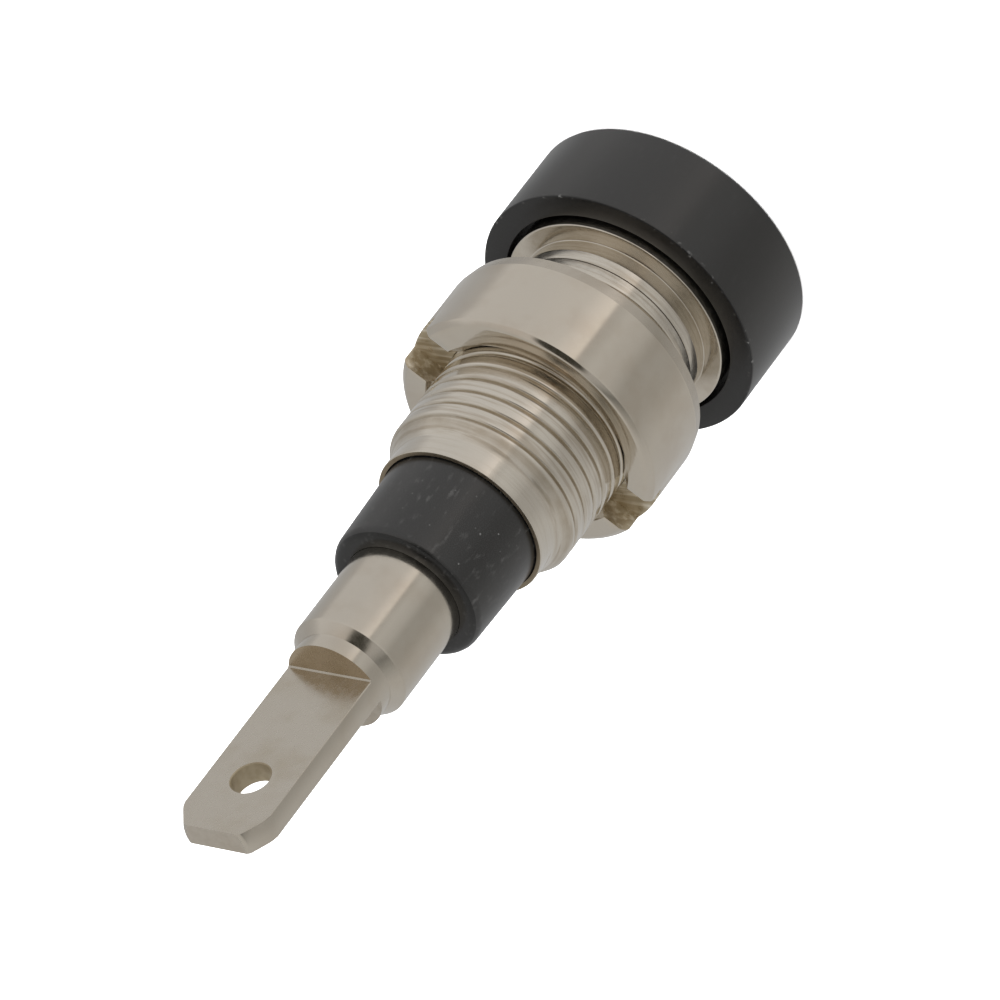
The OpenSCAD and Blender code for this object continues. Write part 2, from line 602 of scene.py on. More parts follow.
class Workpiece:
    """A mesh on the bench, in millimetres, that operators shape before it joins the scene."""

    def __init__(self) -> None:
        """Starts with an empty mesh."""
        self.bm: BMesh = bmesh.new()

    def spin(self, outline: Sequence[Point], columns: int, closed: bool, rise: float = 0.0) -> None:
        """Spins an outline once round the Z axis.

        Args:
            outline: Radius and height of each corner.
            columns: Number of columns round the axis.
            closed: True to join the last corner to the first.
            rise: Height that the turn gains; without one, its ends are merged.
        """
        verts = [self.bm.verts.new((r, 0.0, z)) for r, z in outline]
        pairs = list(zip(verts, verts[1:]))
        if closed:
            pairs.append((verts[-1], verts[0]))
        edges = [self.bm.edges.new(pair) for pair in pairs]
        bmesh.ops.spin(
            self.bm,
            geom=[*verts, *edges],
            cent=(0.0, 0.0, 0.0),
            axis=(0.0, 0.0, 1.0),
            dvec=(0.0, 0.0, rise / columns),
            angle=FULL_TURN,
            steps=columns,
            use_merge=rise == 0.0,
        )

    def turn(self, outline: Sequence[Point], columns: int, closed: bool = True) -> None:
        """Turns a ring, or a solid round whose outline is open and ends on the axis."""
        self.spin(outline, columns, closed)
        self.weld()

    def weld(self) -> None:
        """Merges doubles and turns the faces outwards."""
        bmesh.ops.remove_doubles(self.bm, verts=self.bm.verts, dist=WELD)
        bmesh.ops.recalc_face_normals(self.bm, faces=self.bm.faces)

    def ring(self, r: float, z: float) -> list[BMEdge]:
        """Finds the edges that run round at a radius and a height."""
        return [
            e
            for e in self.bm.edges
            if all(abs(v.co.z - z) < CLOSE and abs(radius_of(v) - r) < CLOSE for v in e.verts)
        ]

    def soften(self, edges: Iterable[BMEdge], width: float, segments: int, clamp: bool = True) -> None:
        """Rounds edges.

        Args:
            edges: The edges.
            width: Width of the rounding on each side.
            segments: Number of segments across the rounding.
            clamp: True to narrow the rounding where short edges meet it.
        """
        bmesh.ops.bevel(
            self.bm,
            geom=list(edges),
            offset=width,
            offset_type="OFFSET",
            segments=segments,
            profile=0.5,
            affect="EDGES",
            material=-1,
            clamp_overlap=clamp,
        )

    def part_at(self, point: Place, normal: Place, above: float | None = None, drop: bool = False) -> None:
        """Cuts the faces along a plane.

        Args:
            point: A point of the plane.
            normal: The plane's normal.
            above: Lowest height of the faces that are cut, or None for all.
            drop: True to drop what lies on the normal's side, False to keep both sides.
        """
        faces = [
            f
            for f in self.bm.faces
            if above is None or all(v.co.z > above - CLOSE for v in f.verts)
        ]
        chosen = set(faces)
        edges = [e for e in self.bm.edges if not chosen.isdisjoint(e.link_faces)]
        verts = [v for v in self.bm.verts if not chosen.isdisjoint(v.link_faces)]
        bmesh.ops.bisect_plane(
            self.bm,
            geom=[*verts, *edges, *faces],
            dist=WELD,
            plane_co=point,
            plane_no=normal,
            clear_outer=drop,
        )

    def clear(self, waste: Callable[[Vector], bool]) -> None:
        """Deletes the faces whose middle lies in the waste."""
        faces = [f for f in self.bm.faces if waste(f.calc_center_median())]
        bmesh.ops.delete(self.bm, geom=faces, context="FACES")

    def rims(self, test: Callable[[BMVert], bool]) -> list[BMEdge]:
        """Finds the open edges whose vertices both pass a test."""
        return [e for e in self.bm.edges if e.is_boundary and all(test(v) for v in e.verts)]

    def cap(self, edges: Iterable[BMEdge], index: int) -> BMFace:
        """Closes a loop of edges with one face.

        Args:
            edges: The loop.
            index: The face's material index.

        Returns:
            The face.
        """
        face = bmesh.ops.contextual_create(self.bm, geom=list(edges))["faces"][0]
        face.material_index = index
        return face

    def carry(self, loop: Sequence[BMEdge], path: Sequence[Point]) -> list[BMEdge]:
        """Draws a round rim along a turned outline.

        Args:
            loop: The open rim, a circle round the Z axis.
            path: Radius and height of each next rim.

        Returns:
            The last rim.
        """
        rim = list(loop)
        for r, z in path:
            made = bmesh.ops.extrude_edge_only(self.bm, edges=rim)["geom"]
            verts = [g for g in made if isinstance(g, BMVert)]
            new = set(verts)
            factor = r / radius_of(verts[0])
            shift = z - verts[0].co.z
            bmesh.ops.scale(self.bm, vec=(factor, factor, 1.0), verts=verts)
            bmesh.ops.translate(self.bm, vec=(0.0, 0.0, shift), verts=verts)
            rim = [g for g in made if isinstance(g, BMEdge) and g.is_boundary and set(g.verts) <= new]
        return rim

    def finish(self, name: str, finishes: Sequence[Material], sharp_deg: float = 38.0) -> Object:
        """Makes the mesh a piece of the scene, in metres.

        Args:
            name: The piece's name.
            finishes: Materials in the order of the faces' indices.
            sharp_deg: Edges that turn by more than this stay sharp.

        Returns:
            The piece.
        """
        self.weld()
        bmesh.ops.scale(self.bm, vec=(MM, MM, MM), verts=self.bm.verts)
        mesh = bpy.data.meshes.new(name)
        self.bm.to_mesh(mesh)
        self.bm.free()
        mesh.polygons.foreach_set("use_smooth", [True] * len(mesh.polygons))
        mesh.set_sharp_from_angle(angle=math.radians(sharp_deg))
        for material in finishes:
            mesh.materials.append(material)
        piece = bpy.data.objects.new(name, mesh)
        bpy.context.scene.collection.objects.link(piece)
        weighted = piece.modifiers.new("even_shading", "WEIGHTED_NORMAL")
        weighted.mode = "FACE_AREA"
        weighted.keep_sharp = True
        return piece


# Pieces of the socket


@dataclass
class InsulatingBody:
    """The moulded body: round head in front and a sleeve that runs back through the bush."""

    head_r: float = 4.34
    front_z: float = -3.23
    rear_z: float = -0.2
    recess_r: float = 3.61
    recess_z: float = -1.0
    mouth_r: float = 2.13
    mouth_bevel: float = 0.15
    collar_z: float = -2.23
    sleeve_r: float = 2.41
    sleeve_tip_r: float = 2.31
    bush_z: float = 8.75
    sleeve_z: float = 11.79
    bore_r: float = 1.765
    front_edge: float = 0.1
    rear_edge: float = 0.06
    recess_edge: float = 0.04
    tip_edge: float = 0.28
    bore_edge: float = 0.015
    end_slope: float = 0.7
    columns: int = 160

    def build(self, finishes: Sequence[Material]) -> Object:
        """Turns the body and rounds its edges.

        Args:
            finishes: Materials of the round sides and of the flat ends.

        Returns:
            The piece.
        """
        work = Workpiece()
        work.turn(
            [
                (self.mouth_r + self.mouth_bevel, self.front_z),
                (self.head_r, self.front_z),
                (self.head_r, self.rear_z),
                (self.recess_r, self.rear_z),
                (self.recess_r, self.recess_z),
                (self.sleeve_r, self.recess_z),
                (self.sleeve_r, self.bush_z),
                (self.sleeve_tip_r, self.sleeve_z),
                (self.bore_r, self.sleeve_z),
                (self.bore_r, self.collar_z),
                (self.mouth_r, self.collar_z),
                (self.mouth_r, self.front_z + self.mouth_bevel),
            ],
            self.columns,
        )
        for r, z, width, segments in (
            (self.head_r, self.front_z, self.front_edge, 6),
            (self.head_r, self.rear_z, self.rear_edge, 4),
            (self.recess_r, self.rear_z, self.recess_edge, 2),
            (self.sleeve_tip_r, self.sleeve_z, self.tip_edge, 6),
            (self.bore_r, self.sleeve_z, self.bore_edge, 2),
        ):
            work.soften(work.ring(r, z), width, segments)
        for face in work.bm.faces:
            face.material_index = int(abs(face.normal.z) > self.end_slope)
        piece = work.finish("insulating_body_dressed", finishes)
        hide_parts("insulating_body")
        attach(piece, Body.SOCKET.value)
        return piece


@dataclass(frozen=True)
class Thread:
    """A fine right-handed outer thread with wide, worn crests.

    The flank gives half a tooth: shares of the pitch and of the groove's depth.
    """

    pitch: float = 0.515
    crest_r: float = 2.94
    root_r: float = 2.82
    root_z: float = 0.2
    columns: int = 128
    grime_and_shade_share: Point = (0.25, 0.8)
    flank: tuple[Point, ...] = (
        (0.0, 0.0),
        (0.03, 0.08),
        (0.07, 0.38),
        (0.11, 0.72),
        (0.15, 0.92),
        (0.2, 0.99),
        (0.26, 1.0),
        (0.42, 1.0),
    )

    def level(self, share: float) -> float:
        """Gives the radius at a share of the groove's depth, from the root up."""
        return self.root_r + (self.crest_r - self.root_r) * share

    def grime_and_shade_r(self) -> Point:
        """Gives the radii at which the grime and painted shade in the grooves are full and at which they end.
        """
        full, none = (self.level(share) for share in self.grime_and_shade_share)
        return full, none

    def sweep(self, work: Workpiece, start_z: float, end_z: float) -> None:
        """Sweeps one tooth along the helix until it covers a stretch of the bush.

        Args:
            work: The bench that gets the thread.
            start_z: Lower end of the stretch.
            end_z: Upper end of the stretch.
        """
        first = self.root_z + self.pitch * math.floor((start_z - self.root_z) / self.pitch - 1.0)
        turns = math.ceil((end_z - first) / self.pitch) + 1
        tooth = [*self.flank, *((1.0 - s, h) for s, h in reversed(self.flank))]
        outline = [(self.level(h), first + self.pitch * s) for s, h in tooth]
        work.spin(outline, self.columns, False, self.pitch)
        turn = [*work.bm.verts, *work.bm.edges, *work.bm.faces]
        for count in range(1, turns):
            copy = bmesh.ops.duplicate(work.bm, geom=turn)["geom"]
            moved = [g for g in copy if isinstance(g, BMVert)]
            bmesh.ops.translate(work.bm, vec=(0.0, 0.0, self.pitch * count), verts=moved)
        work.weld()


@dataclass
class ThreadedBush:
    """The nickel-plated bush: flange, thread and plain end, with a bore for the sleeve."""

    thread: Thread = Thread()
    flange_r: float = 3.45
    flange_z: float = -1.0
    flange_edge: float = 0.04
    fillet: float = 0.03
    neck: tuple[Point, ...] = (
        (2.943, 0.86),
        (2.865, 0.852),
        (2.865, 0.793),
        (2.9, 0.787),
        (2.945, 0.475),
        (2.89, 0.46),
    )
    neck_z: float = 0.98
    fade_z: Point = (1.0, 1.25)
    runout_z: float = 7.55
    pilot_z: float = 8.05
    pilot_r: float = 2.59
    end_z: float = 8.75
    end_edge: float = 0.02
    mouth_r: float = 2.45
    bore_r: float = 2.43
    mouth_z: float = 8.45
    join_z: float = 8.1
    sharp_deg: float = 60.0

    def _limit(self, work: Workpiece) -> None:
        """Lets the thread fade out before the flange and run out into the plain end.

        Args:
            work: The bench with the thread.
        """
        crest = self.thread.crest_r
        start, full = self.fade_z
        for vert in work.bm.verts:
            r = radius_of(vert)
            share = min(max((vert.co.z - start) / (full - start), 0.0), 1.0)
            groove = (crest - r) * share * share * (3.0 - 2.0 * share)
            drop = (vert.co.z - self.runout_z) / (self.pilot_z - self.runout_z)
            drop = min(max(drop, 0.0), 1.0)
            wanted = crest + (self.pilot_r - crest) * drop - groove * (1.0 - drop) ** 2
            vert.co.x *= wanted / r
            vert.co.y *= wanted / r

    def build(self, finishes: Sequence[Material]) -> Object:
        """Cuts the thread and draws the flange, the plain end and the bore from its ends.

        Rings beside the small roundings keep the flat faces' shading flat.

        Args:
            finishes: Materials of the plate and of the plain end's narrow face.

        Returns:
            The piece.
        """
        work = Workpiece()
        self.thread.sweep(work, self.neck_z, self.join_z)
        self._limit(work)
        for height, side in ((self.neck_z, -1.0), (self.join_z, 1.0)):
            work.part_at((0.0, 0.0, height), (0.0, 0.0, side), drop=True)
        front, rear = (
            work.rims(lambda v: abs(v.co.z - height) < CLOSE) for height in (self.neck_z, self.join_z)
        )
        wall_r = self.neck[-1][0]
        brim_r = self.flange_r - self.flange_edge
        under = [
            *self.neck,
            (wall_r, 2.0 * self.fillet),
            *arc((wall_r + self.fillet, self.fillet), self.fillet, 180.0, 270.0),
            (wall_r + 2.0 * self.fillet, 0.0),
            (brim_r - self.flange_edge, 0.0),
            *arc((brim_r, -self.flange_edge), self.flange_edge, 90.0, 0.0),
            (self.flange_r, self.flange_z),
            (self.bore_r, self.flange_z),
        ]
        lip_z = self.end_z - self.end_edge
        behind = [
            (self.pilot_r, lip_z - self.end_edge),
            *arc((self.pilot_r - self.end_edge, lip_z), self.end_edge, 0.0, 90.0),
            (self.mouth_r, self.end_z),
            (self.bore_r, self.mouth_z),
        ]
        bmesh.ops.bridge_loops(work.bm, edges=[*work.carry(front, under), *work.carry(rear, behind)])
        for face in work.bm.faces:
            face.material_index = int(all(v.co.z > self.end_z - CLOSE for v in face.verts))
        piece = work.finish("threaded_bush_dressed", finishes, self.sharp_deg)
        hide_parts("threaded_bush")
        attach(piece, Body.SOCKET.value)
        return piece


@dataclass
class RingNut:
    """The ring nut, with one spanner slot cut across its rear face.

    Its outside is not quite centred on its bore.
    """

    bore_r: float = 2.955
    outer_r: float = 4.04
    front_z: float = 2.05
    rear_z: float = 5.01
    front_bevel: float = 0.1
    front_bevel_len: float = 0.42
    rear_bevel: float = 0.18
    rear_bevel_len: float = 0.16
    bore_bevel: float = 0.14
    rear_bore_bevel: float = 0.3
    slot_w: float = 1.76
    slot_depth: float = 0.7
    slot_turn_deg: float = -43.0
    edge: float = 0.05
    slot_edge: float = 0.025
    lean: Point = (-0.033, 0.031)
    columns: int = 160

    def _slot(self, work: Workpiece) -> None:
        """Cuts the slot along X and closes its walls and floor.

        Args:
            work: The bench with the turned nut.
        """
        floor = self.rear_z - self.slot_depth
        half = self.slot_w / 2.0
        work.part_at((0.0, 0.0, floor), (0.0, 0.0, 1.0))
        for side in (-half, half):
            work.part_at((0.0, side, 0.0), (0.0, 1.0, 0.0), floor)
        work.clear(lambda p: p.z > floor + CLOSE and abs(p.y) < half - WELD)
        cut: list[BMFace] = []
        for way in (-1.0, 1.0):
            for side in (-half, half):
                wall = work.rims(
                    lambda v: v.co.x * way > 0.0 and abs(v.co.y - side) < CLOSE
                    and v.co.z > floor - CLOSE
                )
                low = once(v for e in wall for v in e.verts if abs(v.co.z - floor) < CLOSE)
                ends = sorted(low, key=radius_of)
                sill = work.bm.edges.new((ends[0], ends[-1]))
                cut.append(work.cap([*wall, sill], NutFace.SLOT))
            bed = work.rims(lambda v: v.co.x * way > 0.0 and abs(v.co.z - floor) < CLOSE)
            cut.append(work.cap(bed, NutFace.SLOT))
        rims = once(e for f in cut for e in f.edges if sum(g in cut for g in e.link_faces) == 1)
        work.soften(rims, self.slot_edge, 2)

    def build(self, finishes: Sequence[Material]) -> Object:
        """Turns the nut, cuts its slot and turns it to where it rests.

        Args:
            finishes: Materials in the order of NutFace.

        Returns:
            The piece.
        """
        low_z = self.front_z + self.front_bevel_len
        high_z = self.rear_z - self.rear_bevel_len
        front_r = self.outer_r - self.front_bevel
        rear_r = self.outer_r - self.rear_bevel
        mouth_r = self.bore_r + self.rear_bore_bevel
        work = Workpiece()
        work.turn(
            [
                (self.bore_r, self.front_z + self.bore_bevel),
                (self.bore_r + self.bore_bevel, self.front_z),
                (front_r, self.front_z),
                (self.outer_r, low_z),
                (self.outer_r, high_z),
                (rear_r, self.rear_z),
                (mouth_r, self.rear_z),
                (self.bore_r, self.rear_z - self.rear_bore_bevel),
            ],
            self.columns,
        )
        for r, z in ((self.outer_r, low_z), (self.outer_r, high_z), (rear_r, self.rear_z)):
            work.soften(work.ring(r, z), self.edge, 3)
        for face in work.bm.faces:
            if all(v.co.z < low_z and radius_of(v) > front_r - CLOSE for v in face.verts):
                face.material_index = NutFace.WORN
        self._slot(work)
        turn = Matrix.Rotation(math.radians(self.slot_turn_deg), 4, "Z")
        bmesh.ops.transform(work.bm, matrix=turn, verts=work.bm.verts)
        outside = [v for v in work.bm.verts if radius_of(v) > mouth_r + CLOSE]
        bmesh.ops.translate(work.bm, vec=(*self.lean, 0.0), verts=outside)
        piece = work.finish("ring_nut_dressed", finishes)
        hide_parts("ring_nut")
        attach(piece, Body.NUT.value)
        return piece


@dataclass
class SocketContact:
    """The turned contact: plug bore in front, and a milled and drilled soldering tab behind."""

    collar_r: float = 2.11
    front_z: float = -3.03
    collar_z: float = -2.23
    bore_r: float = 1.0
    mouth_bevel: float = 0.3
    bore_end_z: float = 9.97
    drill_z: float = 10.571
    shank_r: float = 1.76
    shank_z: float = 14.73
    boss_r: float = 1.47
    boss_z: float = 15.03
    shoulder_z: float = 15.5
    bevel_z: float = 21.03
    tip_r: float = 1.03
    tab_z: float = 21.74
    tab_top: float = 0.46
    tab_under: float = -0.24
    hole_r: float = 0.575
    hole_z: float = 19.68
    hole_bevel: float = 0.03
    step_edge: float = 0.04
    tab_edge: float = 0.035
    long_edge: float = 1.0
    sill: float = 0.042
    sill_slope: float = 0.3
    end_round: float = 0.2
    end_edge: float = 0.1
    columns: int = 128
    hole_columns: int = 48

    @staticmethod
    def _flats(work: Workpiece) -> list[BMFace]:
        """Finds both flats of the tab, the largest milled faces square to Y."""
        milled = [f for f in work.bm.faces if f.material_index == ContactFace.MILLED]
        return sorted((f for f in milled if abs(f.normal.y) > SQUARE), key=BMFace.calc_area)[-2:]

    def _mill(self, work: Workpiece) -> None:
        """Mills both flats of the tab and rounds their long edges.

        Args:
            work: The bench with the turned contact.
        """
        shoulder = self.shoulder_z
        work.part_at((0.0, 0.0, shoulder), (0.0, 0.0, 1.0), self.boss_z)
        for level, side, ledge_face in (
            (self.tab_top, 1.0, ContactFace.SHOULDER),
            (self.tab_under, -1.0, ContactFace.CUT_END),
        ):
            work.part_at((0.0, level, 0.0), (0.0, 1.0, 0.0), shoulder)
            work.clear(lambda p: p.z > shoulder + WELD and (p.y - level) * side > WELD)
            outline = work.rims(lambda v: abs(v.co.y - level) < CLOSE and v.co.z > shoulder - CLOSE)
            ledge = work.rims(
                lambda v: abs(v.co.z - shoulder) < CLOSE and (v.co.y - level) * side > -CLOSE
            )
            low = once(v for e in outline for v in e.verts if abs(v.co.z - shoulder) < CLOSE)
            corners = sorted(low, key=lambda v: v.co.x)
            ends = (corners[0], corners[-1])
            sill = work.bm.edges.new(ends)
            work.cap([*outline, sill], ContactFace.MILLED)
            work.cap([*ledge, sill], ledge_face)
            self._ease(work, ends, level, side)
        edges = once(e for f in self._flats(work) for e in f.edges)
        rims = [e for e in edges if abs(e.verts[0].co.z - e.verts[1].co.z) > self.long_edge]
        work.soften(rims, self.tab_edge, 2, clamp=False)

    def _ease(self, work: Workpiece, ends: Sequence[BMVert], level: float, side: float) -> None:
        """Turns the sharp inner corner between a flat and its shoulder into a narrow slope.

        Args:
            work: The bench with the flat and the shoulder.
            ends: Both ends of the corner.
            level: Height of the flat along Y.
            side: 1 for the upper flat, -1 for the lower one.
        """
        shoulder = self.shoulder_z
        work.part_at((0.0, 0.0, shoulder + self.sill), (0.0, 0.0, 1.0), shoulder)
        work.part_at((0.0, level + side * self.sill, 0.0), (0.0, 1.0, 0.0), shoulder)
        half = 0.5 * self.sill
        y = level + side * half
        for vert in ends:
            vert.co = (math.copysign(math.sqrt(self.boss_r**2 - y**2), vert.co.x), y, shoulder + half)
        for face in once(f for v in ends for f in v.link_faces):
            sloped = abs(face.normal.x) < self.sill_slope
            if sloped and all(v.co.z > shoulder - CLOSE for v in face.verts):
                face.normal_update()
                face.material_index = ContactFace.MILLED

    def _drill(self, work: Workpiece) -> None:
        """Drills the wire hole through the tab, with a small bevel at both mouths.

        Args:
            work: The bench with the milled contact.
        """
        flats = self._flats(work)
        upright = Matrix.Rotation(math.radians(90.0), 4, "X")
        mouth_r = self.hole_r + self.hole_bevel
        steps = (
            (self.tab_top, mouth_r),
            (self.tab_top - self.hole_bevel, self.hole_r),
            (self.tab_under + self.hole_bevel, self.hole_r),
            (self.tab_under, mouth_r),
        )
        rims: list[list[BMEdge]] = []
        for level, r in steps:
            verts = bmesh.ops.create_circle(
                work.bm,
                cap_ends=False,
                segments=self.hole_columns,
                radius=r,
                matrix=Matrix.Translation((0.0, level, self.hole_z)) @ upright,
            )["verts"]
            rims.append(once(e for v in verts for e in v.link_edges))
        for first, second in zip(rims, rims[1:]):
            for wall in bmesh.ops.bridge_loops(work.bm, edges=[*first, *second])["faces"]:
                wall.material_index = ContactFace.DRILLED
        for flat in flats:
            level = flat.calc_center_median().y
            rim = rims[0] if abs(level - self.tab_top) < CLOSE else rims[-1]
            outline = list(flat.edges)
            bmesh.ops.delete(work.bm, geom=[flat], context="FACES_ONLY")
            filled = bmesh.ops.triangle_fill(
                work.bm, edges=[*outline, *rim], use_beauty=True, use_dissolve=False
            )["geom"]
            for face in (g for g in filled if isinstance(g, BMFace)):
                face.material_index = ContactFace.MILLED

    def build(self, finishes: Sequence[Material]) -> Object:
        """Turns, mills and drills the contact.

        Args:
            finishes: Materials in the order of ContactFace.

        Returns:
            The piece.
        """
        work = Workpiece()
        work.turn(
            [
                (0.0, self.drill_z),
                (self.bore_r, self.bore_end_z),
                (self.bore_r, self.front_z + self.mouth_bevel),
                (self.bore_r + self.mouth_bevel, self.front_z),
                (self.collar_r, self.front_z),
                (self.collar_r, self.collar_z),
                (self.shank_r, self.collar_z),
                (self.shank_r, self.shank_z),
                (self.boss_r, self.boss_z),
                (self.boss_r, self.bevel_z),
                (self.tip_r, self.tab_z),
                (0.0, self.tab_z),
            ],
            self.columns,
            closed=False,
        )
        work.soften(work.ring(self.shank_r, self.shank_z), self.step_edge, 3)
        work.soften(work.ring(self.boss_r, self.bevel_z), self.end_round, 4)
        work.soften(work.ring(self.tip_r, self.tab_z), self.end_edge, 4)
        self._mill(work)
        self._drill(work)
        for face in work.bm.faces:
            if all(abs(v.co.z - self.tab_z) < CLOSE for v in face.verts):
                face.material_index = ContactFace.CUT_END
        piece = work.finish("socket_contact_dressed", finishes)
        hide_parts("socket_contact")
        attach(piece, Body.SOCKET.value)
        return piece


# Studio


@dataclass(frozen=True)
class PhotoCamera:
    """Camera at the photograph's viewing angle, worked out for a square picture."""

    tilt_deg: float = 34.841
    roll_deg: float = 52.836
    turn_deg: float = 42.77
    origin_mm: Place = (3.214, -5.0955, 225.6886)
    focal_px: float = 8000.0
    frame_px: float = 1000.0
    sensor_mm: float = 36.0
    clip_m: Point = (0.01, 10.0)

    def axes(self) -> tuple[Vector, Vector, Vector]:
        """Gives the part's X, Y and Z in the camera's axes: x right, y down, z forward.

        Returns:
            The three directions.
        """
        tilt, roll, turn = (math.radians(a) for a in (self.tilt_deg, self.roll_deg, self.turn_deg))
        flat = math.cos(tilt)
        up = -Vector((flat * math.cos(roll), -flat * math.sin(roll), math.sin(tilt)))
        across = Vector((math.sin(roll), math.cos(roll), 0.0))
        facing = up.cross(across)
        x_axis = across * math.cos(turn) + facing * math.sin(turn)
        y_axis = facing * math.cos(turn) - across * math.sin(turn)
        return x_axis, y_axis, up

    def facing_deg(self) -> float:
        """Gives the azimuth of the camera as the part sees it, in degrees."""
        x_axis, y_axis, _ = self.axes()
        return math.degrees(math.atan2(-y_axis.z, -x_axis.z))

    def build(self) -> None:
        """Makes the scene's camera."""
        axes = self.axes()
        place = Vector([-axis.dot(Vector(self.origin_mm)) for axis in axes]) * MM
        right = [axis.x for axis in axes]
        up = [-axis.y for axis in axes]
        back = [-axis.z for axis in axes]
        columns = Matrix((right, up, back)).transposed()
        data = bpy.data.cameras.new("photo_camera")
        data.sensor_width = self.sensor_mm
        data.lens = self.focal_px / self.frame_px * self.sensor_mm
        data.clip_start, data.clip_end = self.clip_m
        camera = bpy.data.objects.new("photo_camera", data)
        camera.matrix_world = Matrix.Translation(place) @ columns.to_4x4()
        bpy.context.scene.collection.objects.link(camera)
        bpy.context.scene.camera = camera


@dataclass(frozen=True)
class Gap:
    """A dark round gap between the panels, placed by its turn away from the camera."""

    turn_deg: float = 19.5
    height_deg: float = 55.0
    inner_deg: float = 12.0
    outer_deg: float = 20.0
    shade: Colour = (0.04, 0.037, 0.028)


@dataclass
class Studio:
    """Plain pale floor, soft light from all sides and the panels that the metal mirrors.

    The low and high panels stand round the part below and above its horizon. Each is placed by
    the turn, away from the camera, of the upright wall that faces halfway to it. The far panel
    stands opposite the camera.
    """

    floor_z: float = -3.23
    floor_size: float = 1600.0
    floor: FloorFinish = FloorFinish()
    fill: float = 2.2
    fill_colour: Colour = (1.0, 1.0, 1.0)
    key_power: float = 0.8
    key_size: float = 0.28
    key_place: Place = (-0.05, 0.12, 0.34)
    low_panels: tuple[tuple[float, Colour], ...] = (
        (-113.0, (0.47, 0.47, 0.47)),
        (-90.0, (0.5, 0.5, 0.5)),
        (-72.0, (0.55, 0.55, 0.55)),
        (-46.0, (0.53, 0.52, 0.5)),
        (-33.0, (0.43, 0.42, 0.4)),
        (-20.5, (0.41, 0.4, 0.38)),
        (-14.0, (0.53, 0.52, 0.5)),
        (-5.0, (0.59, 0.58, 0.56)),
        (-1.0, (0.53, 0.52, 0.5)),
        (1.1, (0.52, 0.5, 0.48)),
        (2.3, (0.92, 0.87, 0.82)),
        (6.5, (0.82, 0.78, 0.75)),
        (12.0, (0.69, 0.67, 0.65)),
        (30.0, (0.65, 0.64, 0.63)),
        (51.0, (0.65, 0.64, 0.63)),
        (57.0, (0.5, 0.49, 0.48)),
        (66.0, (0.47, 0.47, 0.47)),
    )
    high_panels: tuple[tuple[float, Colour], ...] = (
        (-75.0, (0.52, 0.5, 0.48)),
        (-48.0, (0.47, 0.46, 0.44)),
        (-34.0, (0.345, 0.34, 0.32)),
        (-28.0, (0.27, 0.265, 0.25)),
        (-23.5, (0.19, 0.186, 0.174)),
        (-19.5, (0.3, 0.295, 0.28)),
        (-13.0, (0.43, 0.42, 0.405)),
        (15.0, (0.56, 0.535, 0.505)),
        (32.0, (0.61, 0.58, 0.55)),
        (48.0, (0.54, 0.515, 0.49)),
        (65.0, (0.52, 0.5, 0.48)),
    )
    high_from: Point = (0.42, 0.7)
    far_panel: Colour = (0.54, 0.53, 0.51)
    far_height_deg: float = 37.0
    far_from: Point = (0.2, 0.75)
    gap: Gap = Gap()

    def _floor(self) -> None:
        """Lays the floor."""
        bm = bmesh.new()
        bmesh.ops.create_grid(bm, x_segments=1, y_segments=1, size=self.floor_size * MM / 2.0)
        bmesh.ops.translate(bm, vec=(0.0, 0.0, self.floor_z * MM), verts=bm.verts)
        mesh = bpy.data.meshes.new("floor")
        bm.to_mesh(mesh)
        bm.free()
        mesh.materials.append(self.floor.build())
        floor = bpy.data.objects.new("floor", mesh)
        floor.visible_glossy = False
        bpy.context.scene.collection.objects.link(floor)

    def _key(self) -> None:
        """Hangs the large soft lamp above the part."""
        data = bpy.data.lights.new("soft_key", "AREA")
        data.shape = "DISK"
        data.size = self.key_size
        data.energy = self.key_power
        lamp = bpy.data.objects.new("soft_key", data)
        lamp.location = self.key_place
        lamp.rotation_euler = (-Vector(self.key_place)).to_track_quat("-Z", "Y").to_euler()
        lamp.visible_glossy = False
        bpy.context.scene.collection.objects.link(lamp)

    @staticmethod
    def _aim(azimuth_deg: float, height_deg: float) -> Vector:
        """Gives a direction from its angle round Z from +X and its angle above the horizon."""
        a, h = math.radians(azimuth_deg), math.radians(height_deg)
        return Vector((math.cos(a) * math.cos(h), math.sin(a) * math.cos(h), math.sin(h)))

    def _panels(self, bench: NodeBench, facing_deg: float) -> NodeSocket:
        """Lays out the pale and dim panels round the part that show in polished metal.

        Args:
            bench: The world's nodes.
            facing_deg: The camera's azimuth, from which the panels and the gap are placed.

        Returns:
            The panels' colour.
        """
        way = bench.add("ShaderNodeTexCoord").outputs["Generated"]
        climb = bench.add("ShaderNodeSeparateXYZ", {"Vector": way}).outputs["Z"]
        around = bench.add("ShaderNodeTexGradient", {"Vector": way}, gradient_type="RADIAL").outputs["Fac"]
        low, high = (
            bench.ramp(around, [(0.5 + (facing_deg + 2.0 * turn) / 360.0, tone) for turn, tone in panels])
            for panels in (self.low_panels, self.high_panels)
        )
        behind = bench.along(way, self._aim(facing_deg + 180.0, self.far_height_deg))
        high = bench.blend(bench.spread(behind, *self.far_from), high, self.far_panel)
        panels = bench.blend(bench.spread(climb, *self.high_from), low, high)
        gap = self.gap
        near = bench.along(way, self._aim(facing_deg + gap.turn_deg, gap.height_deg))
        outer, inner = (math.cos(math.radians(a)) for a in (gap.outer_deg, gap.inner_deg))
        return bench.blend(bench.spread(near, outer, inner), panels, gap.shade)

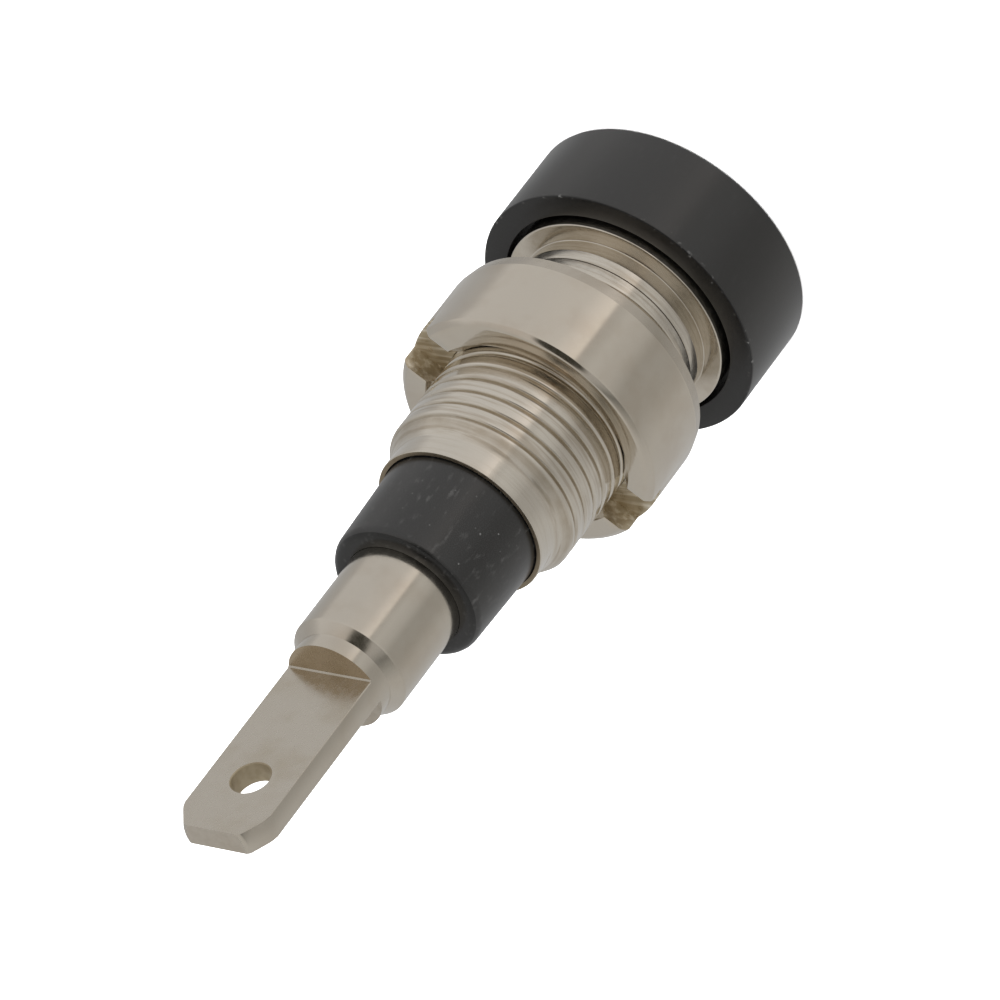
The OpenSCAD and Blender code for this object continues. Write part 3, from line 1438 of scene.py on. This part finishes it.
    def _world(self, facing_deg: float) -> None:
        """Fills the studio with soft light, and hangs the panels where only polished faces see them.

        Args:
            facing_deg: The camera's azimuth.
        """
        world = bpy.data.worlds.new("studio")
        world.use_nodes = True
        bpy.context.scene.world = world
        bench = NodeBench(world.node_tree)
        soft = bench.add("ShaderNodeBackground", {"Color": self.fill_colour, "Strength": self.fill})
        mirrored = bench.add("ShaderNodeBackground", {"Color": self._panels(bench, facing_deg)})
        glossy = bench.add("ShaderNodeLightPath").outputs["Is Glossy Ray"]
        mix = bench.add("ShaderNodeMixShader", {0: glossy, 1: soft.outputs[0], 2: mirrored.outputs[0]})
        bench.add("ShaderNodeOutputWorld", {"Surface": mix.outputs[0]})

    def build(self, camera: PhotoCamera) -> None:
        """Sets up floor, light, camera and the picture's tone.

        Args:
            camera: The camera.
        """
        self._floor()
        self._key()
        self._world(camera.facing_deg())
        camera.build()
        bpy.context.scene.view_settings.view_transform = "Standard"


def metal_finishes(thread: Thread, slot_turn_deg: float) -> dict[str, Material]:
    """Makes the materials of the metal pieces.

    Args:
        thread: The bush's thread, whose grooves hold grime and painted shade.
        slot_turn_deg: Turn of the nut's slot, along which its tool marks run.

    Returns:
        The materials by their names.
    """
    milled, slotted, worn = MarkRun.MILLED, MarkRun.SLOTTED, MarkRun.WORN
    grime_and_shade = ThreadGrimeAndShade(thread.grime_and_shade_r())
    finishes = (
        NickelFinish("nickel_turned", (0.66, 0.61, 0.53), (0.62, 0.56, 0.475), 0.1),
        NickelFinish("nickel_threaded", (0.72, 0.675, 0.6), (0.56, 0.5, 0.415), 0.16, worn, grime_and_shade=grime_and_shade),
        NickelFinish("nickel_contact", (0.635, 0.59, 0.515), (0.595, 0.54, 0.46), 0.15),
        NickelFinish("nickel_milled", (0.575, 0.535, 0.47), (0.515, 0.465, 0.385), 0.26, milled, 0.06),
        NickelFinish("nickel_shoulder", (0.5, 0.41, 0.295), (0.46, 0.37, 0.26), 0.26, milled, 0.06),
        NickelFinish("nickel_cut_end", (0.54, 0.495, 0.43), (0.51, 0.46, 0.39), 0.5, milled, 0.5),
        NickelFinish("nickel_drilled", (0.5, 0.43, 0.31), (0.44, 0.37, 0.26), 0.5, mark_strength=0.3),
        NickelFinish("nickel_grimy", (0.3, 0.25, 0.18), (0.24, 0.19, 0.13), 0.4),
        NickelFinish(
            "brass_slot",
            (0.5, 0.425, 0.3),
            (0.88, 0.82, 0.71),
            0.32,
            slotted,
            0.6,
            slot_turn_deg=slot_turn_deg,
        ),
        NickelFinish("nickel_worn", (0.57, 0.525, 0.455), (0.5, 0.45, 0.375), 0.22),
    )
    return {finish.name: finish.build() for finish in finishes}


def main() -> None:
    """Builds the pieces of the socket in order, then the studio."""
    logging.basicConfig(level=logging.INFO, format="%(name)s: %(message)s")
    body = InsulatingBody()
    bush = ThreadedBush()
    nut = RingNut()
    metal = metal_finishes(bush.thread, nut.slot_turn_deg)
    plastic = [
        PlasticFinish(name, specular, body.bush_z, body.head_r, body.rear_z).build()
        for name, specular in (("black_plastic_sides", 0.9), ("black_plastic_ends", 0.5))
    ]
    contact = ("nickel_contact", "nickel_milled", "nickel_shoulder", "nickel_cut_end", "nickel_drilled")
    pieces = (
        body.build(plastic),
        bush.build([metal["nickel_threaded"], metal["nickel_grimy"]]),
        nut.build([metal["nickel_turned"], metal["brass_slot"], metal["nickel_worn"]]),
        SocketContact().build([metal[name] for name in contact]),
    )
    for piece in pieces:
        log.info("%s: %d faces", piece.name, len(piece.data.polygons))
    Studio().build(PhotoCamera())


if __name__ == "__main__":
    main()
